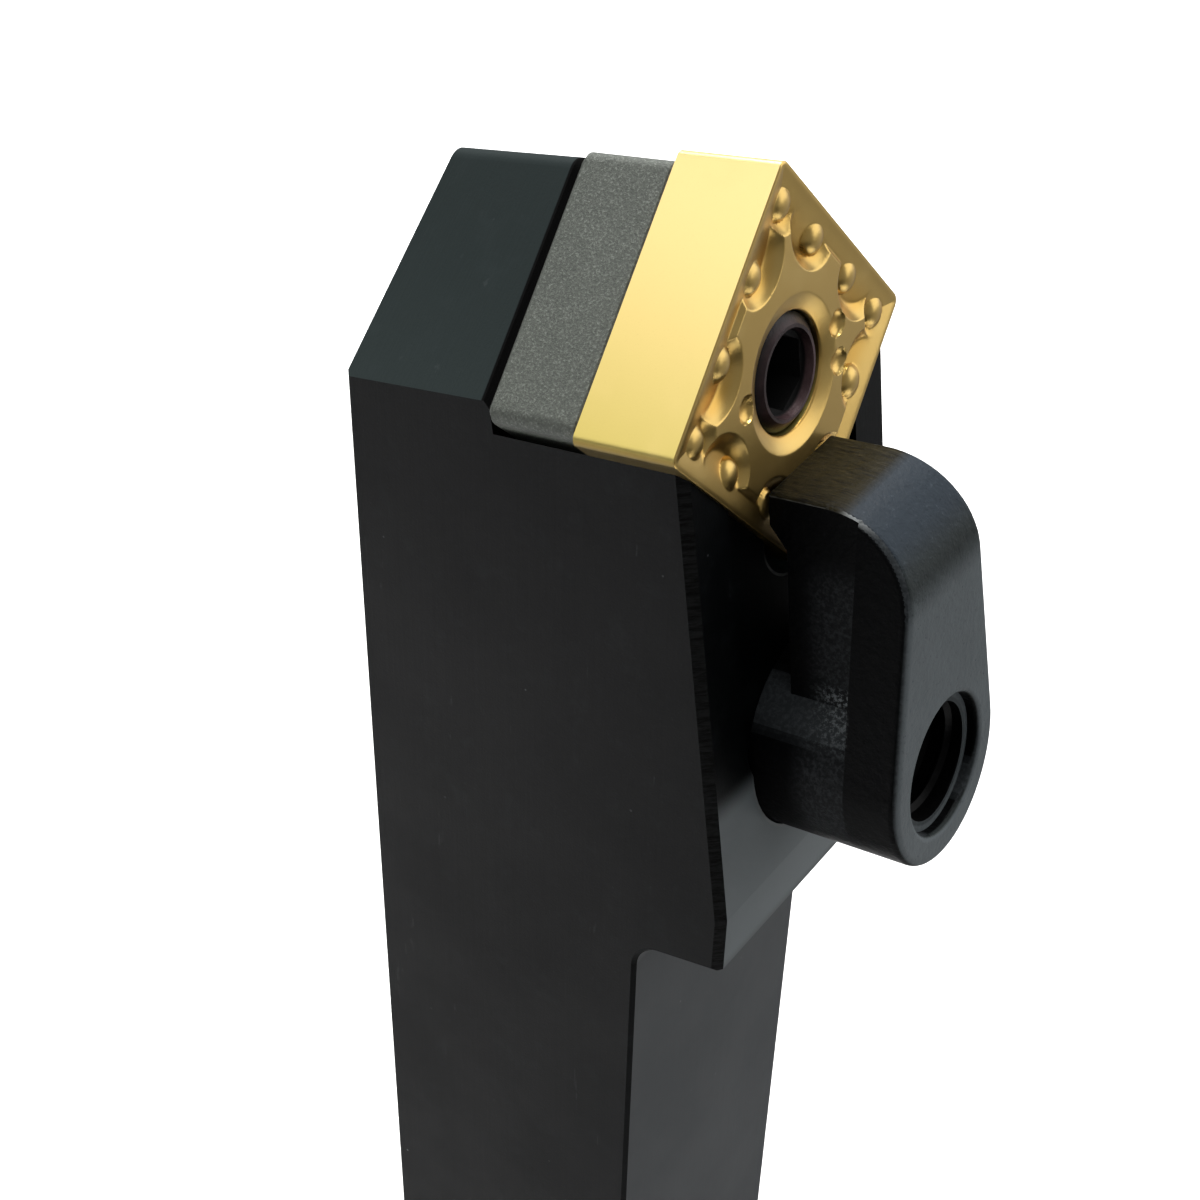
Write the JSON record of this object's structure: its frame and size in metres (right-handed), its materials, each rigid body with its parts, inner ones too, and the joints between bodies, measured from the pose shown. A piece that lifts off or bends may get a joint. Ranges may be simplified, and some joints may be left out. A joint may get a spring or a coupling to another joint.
{
  "type": "turning tool holder",
  "caption": "Turning tool holder with a square shank, a square indexable insert on a shim, a lock pin and a finger clamp tightened by a double-threaded socket screw.",
  "frame": {"origin": "centre of the shank's end face, on which the tool stands", "axes": "+Z along the shank to the cutting nose, +X the way that the insert's rake face looks, Y across the shank; the tool is symmetric about the XZ plane but for small marks and the clamp's out-of-square front"},
  "size_m": [0.0271, 0.0176, 0.1],
  "materials": {
    "holder_body": "ground and black-oxidised steel, satin, with fine scratches",
    "shim_seat": "bare sintered carbide, matt grey",
    "insert": "coated carbide, satin yellow gold",
    "lock_pin": "hardened steel, oxidised dark brown",
    "clamp": "cast and black-oxidised steel, ground at the front",
    "clamp_screw": "black-oxidised steel"
  },
  "bodies": {
    "holder": {"holder_body": "holder_body", "shim_seat": "shim_seat", "insert": "insert"},
    "lock_pin": {"lock_pin": "lock_pin"},
    "clamp_screw": {"clamp_screw": "clamp_screw"},
    "clamp": {"clamp": "clamp"}
  },
  "joints": [
    {"name": "lock_pin_turn", "type": "hinge", "parent": "holder", "child": "lock_pin", "pos_m": [0.0093, 0, 0.09128], "axis": [0.9891, 0, 0.147], "range_deg": [0, 1080]},
    {"name": "clamp_screw_turn", "type": "hinge", "parent": "holder", "child": "clamp_screw", "pos_m": [0.01182, 0, 0.07427], "axis": [0.9891, 0, 0.147], "range_deg": [0, 720]},
    {"name": "clamp_lift", "type": "slide", "parent": "holder", "child": "clamp", "axis": [0.9891, 0, 0.147], "range_m": [0, 0.004]}
  ],
  "couplings": [
    {"joint": "clamp_screw_turn", "follows": "clamp_lift", "rad_per_m": 3141.6}
  ]
}
